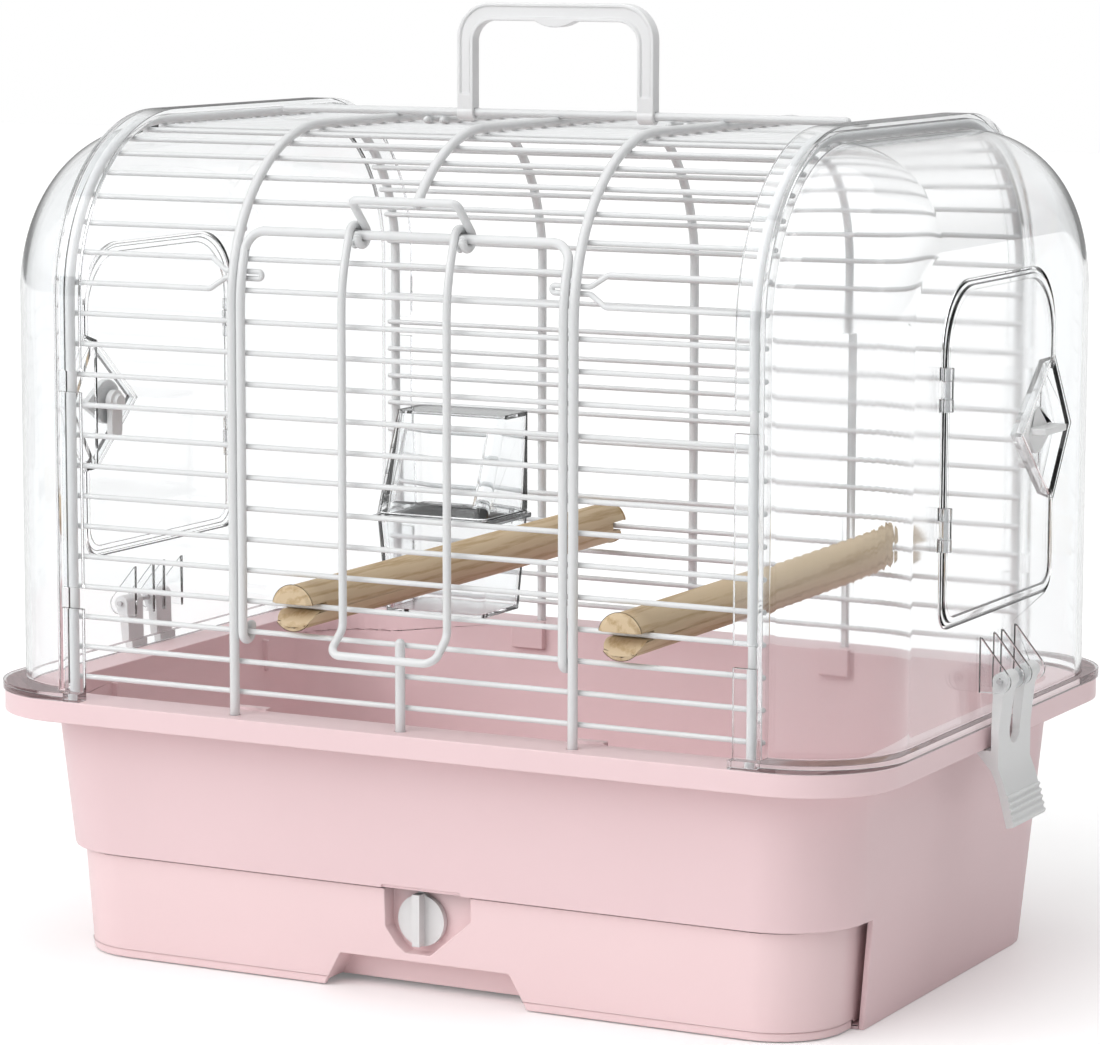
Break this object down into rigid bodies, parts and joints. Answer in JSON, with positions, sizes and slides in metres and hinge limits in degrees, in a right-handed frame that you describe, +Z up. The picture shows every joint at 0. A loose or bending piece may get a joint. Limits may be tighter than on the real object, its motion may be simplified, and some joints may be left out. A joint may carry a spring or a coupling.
{
  "type": "bird travel carrier",
  "caption": "Small pet bird carrier: wire cage on a tub with a drawer, clear end caps with side doors, fold-down front door, perches, feeder and handle.",
  "frame": {"origin": "centre of the footprint, on the surface that the carrier stands on", "axes": "+X is the carrier's right side, -Y is its front with the door, +Z is up"},
  "size_m": [0.4262, 0.292, 0.394],
  "materials": {
    "tub_plastic": "moulded pale pink plastic",
    "drawer_plastic": "moulded pale pink plastic, a little lighter",
    "coated_wire": "white powder coat on steel wire",
    "handle_plastic": "white moulded plastic",
    "knob_plastic": "white moulded plastic",
    "lever_plastic": "light grey moulded plastic",
    "clear_plastic": "clear moulded plastic",
    "feeder_plastic": "slightly smoky clear plastic",
    "perch_wood": "bare turned dowel",
    "pin_steel": "plain steel"
  },
  "bodies": {
    "cage": {"tub": "tub_plastic", "floor_grate": "tub_plastic", "runners": "tub_plastic", "end_hoop_left": "coated_wire", "end_hoop_right": "coated_wire", "main_hoop_left": "coated_wire", "main_hoop_right": "coated_wire", "centre_hoop": "coated_wire", "centre_stub": "coated_wire", "front_wires": "coated_wire", "back_wires": "coated_wire", "roof_wires": "coated_wire", "top_rod": "coated_wire", "handle_bracket_left": "coated_wire", "handle_bracket_right": "coated_wire", "door_stops": "coated_wire", "end_cap_left": "clear_plastic", "end_cap_right": "clear_plastic", "hinge_pins_left": "pin_steel", "hinge_pins_right": "pin_steel", "clip_pin_left": "pin_steel", "clip_pin_right": "pin_steel", "perch_left": "perch_wood", "perch_right": "perch_wood"},
    "drawer": {"drawer": "drawer_plastic"},
    "drawer_lock": {"drawer_knob": "knob_plastic", "drawer_cam": "knob_plastic", "cam_screw": "pin_steel"},
    "handle": {"handle": "handle_plastic"},
    "front_door": {"door_frame": "coated_wire", "door_wires": "coated_wire"},
    "door_latch": {"door_latch": "coated_wire"},
    "side_door_left": {"side_door_left": "clear_plastic"},
    "side_door_right": {"side_door_right": "clear_plastic"},
    "side_latch_left": {"side_knob_left": "lever_plastic", "side_tongue_left": "lever_plastic"},
    "side_latch_right": {"side_knob_right": "lever_plastic", "side_tongue_right": "lever_plastic"},
    "rim_clip_left": {"clip_lever_left": "lever_plastic"},
    "rim_clip_right": {"clip_lever_right": "lever_plastic"},
    "feeder": {"feeder_cup": "feeder_plastic", "feeder_hood": "feeder_plastic"}
  },
  "joints": [
    {"name": "drawer_slide", "type": "slide", "parent": "cage", "child": "drawer", "axis": [0, -1, 0], "range_m": [0, 0.16]},
    {"name": "drawer_lock_turn", "type": "hinge", "parent": "drawer", "child": "drawer_lock", "pos_m": [-0.003, -0.105, 0.031], "axis": [0, -1, 0], "range_deg": [0, 90]},
    {"name": "front_door_hinge", "type": "hinge", "parent": "cage", "child": "front_door", "pos_m": [0, -0.1301, 0.14583], "axis": [1, 0, 0], "range_deg": [0, 55]},
    {"name": "door_latch_swing", "type": "hinge", "parent": "front_door", "child": "door_latch", "pos_m": [0, -0.12694, 0.30593], "axis": [-1, 0, 0], "range_deg": [0, 45]},
    {"name": "side_door_right_hinge", "type": "hinge", "parent": "cage", "child": "side_door_right", "pos_m": [0.2006, -0.0632, 0.2235], "axis": [0, 0, -1], "range_deg": [0, 110]},
    {"name": "side_door_left_hinge", "type": "hinge", "parent": "cage", "child": "side_door_left", "pos_m": [-0.2006, 0.0632, 0.2235], "axis": [0, 0, -1], "range_deg": [0, 110]},
    {"name": "side_latch_right_turn", "type": "hinge", "parent": "side_door_right", "child": "side_latch_right", "pos_m": [0.192, 0.0465, 0.2235], "axis": [1, 0, 0], "range_deg": [0, 90]},
    {"name": "side_latch_left_turn", "type": "hinge", "parent": "side_door_left", "child": "side_latch_left", "pos_m": [-0.192, -0.0465, 0.2235], "axis": [-1, 0, 0], "range_deg": [0, 90]},
    {"name": "rim_clip_right_hinge", "type": "hinge", "parent": "cage", "child": "rim_clip_right", "pos_m": [0.2063, 0, 0.131], "axis": [0, -1, 0], "range_deg": [0, 90]},
    {"name": "rim_clip_left_hinge", "type": "hinge", "parent": "cage", "child": "rim_clip_left", "pos_m": [-0.2063, 0, 0.131], "axis": [0, 1, 0], "range_deg": [0, 90]},
    {"name": "handle_fold", "type": "hinge", "parent": "cage", "child": "handle", "pos_m": [0, 0, 0.34835], "axis": [1, 0, 0], "range_deg": [-85, 85]},
    {"name": "feeder_lift", "type": "slide", "parent": "cage", "child": "feeder", "axis": [0, 0, 1], "range_m": [0, 0.007]}
  ]
}
